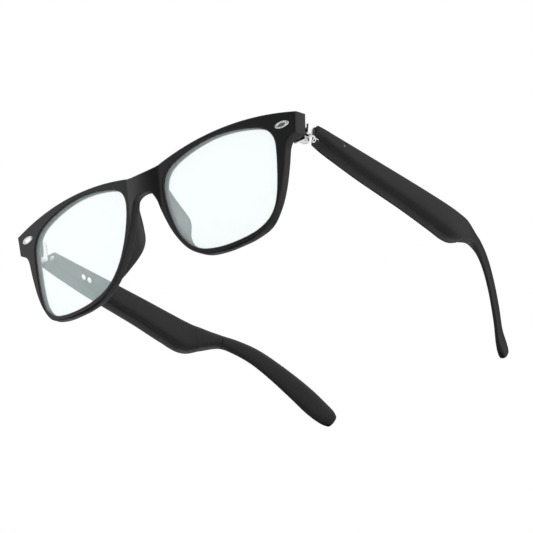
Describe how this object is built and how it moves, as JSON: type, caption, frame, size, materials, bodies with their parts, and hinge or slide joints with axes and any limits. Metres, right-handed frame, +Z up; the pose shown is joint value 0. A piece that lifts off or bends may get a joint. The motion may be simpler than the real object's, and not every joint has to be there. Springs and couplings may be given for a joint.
{
  "type": "smart glasses",
  "caption": "Black rectangular-rimmed smart glasses with clear lenses, folding electronics arms, charging contacts and slim ear tips.",
  "frame": {"origin": "on the table below the middle of the open glasses, which stand on their rims and ear tips", "axes": "+X to the wearer's left, +Y from the front towards the ear tips, +Z up"},
  "size_m": [0.1476, 0.1498, 0.0461],
  "materials": {
    "front_plastic": "black moulded plastic with a satin surface",
    "arm_plastic": "black moulded plastic, matt, slightly greyer than the front",
    "tip_plastic": "soft matt black",
    "lens_clear": "clear with a pale blue-green coating",
    "rivet_metal": "polished",
    "hinge_metal": "bright steel",
    "contact_metal": "plated",
    "light_pipe": "translucent grey",
    "grille_mesh": "black moulded",
    "board": "green solder mask",
    "chip": "black moulded",
    "foil": "foil",
    "copper": "bare copper"
  },
  "bodies": {
    "front": {"front_frame": "front_plastic", "left_lens": "lens_clear", "left_oval_rivet": "rivet_metal", "left_hinge_front_leaf": "hinge_metal", "left_hinge_screw": "hinge_metal", "right_lens": "lens_clear", "right_oval_rivet": "rivet_metal", "right_hinge_front_leaf": "hinge_metal", "right_hinge_screw": "hinge_metal"},
    "left_arm": {"left_hinge_arm_leaf": "hinge_metal", "left_hinge_fixing_screw": "hinge_metal", "left_arm_shell": "arm_plastic", "left_arm_cover": "arm_plastic", "left_ear_tip": "tip_plastic", "left_tip_core": "hinge_metal", "left_charge_contact_front": "contact_metal", "left_charge_contact_rear": "contact_metal", "left_status_light": "light_pipe", "left_sound_grille": "grille_mesh", "left_circuit_board": "board", "left_radio_chip": "chip", "left_microphone": "foil", "left_battery": "foil", "left_touch_plate": "copper", "left_speaker": "chip"},
    "right_arm": {"right_hinge_arm_leaf": "hinge_metal", "right_hinge_fixing_screw": "hinge_metal", "right_arm_shell": "arm_plastic", "right_arm_cover": "arm_plastic", "right_ear_tip": "tip_plastic", "right_tip_core": "hinge_metal", "right_charge_contact_front": "contact_metal", "right_charge_contact_rear": "contact_metal", "right_status_light": "light_pipe", "right_sound_grille": "grille_mesh", "right_circuit_board": "board", "right_radio_chip": "chip", "right_microphone": "foil", "right_battery": "foil", "right_touch_plate": "copper", "right_speaker": "chip"}
  },
  "joints": [
    {"name": "left_fold", "type": "hinge", "parent": "front", "child": "left_arm", "pos_m": [0.0676, -0.05935, 0.03732], "axis": [0, -0.1288, 0.9917], "range_deg": [0, 84]},
    {"name": "right_fold", "type": "hinge", "parent": "front", "child": "right_arm", "pos_m": [-0.0676, -0.05935, 0.03732], "axis": [0, 0.1288, -0.9917], "range_deg": [0, 70]}
  ]
}
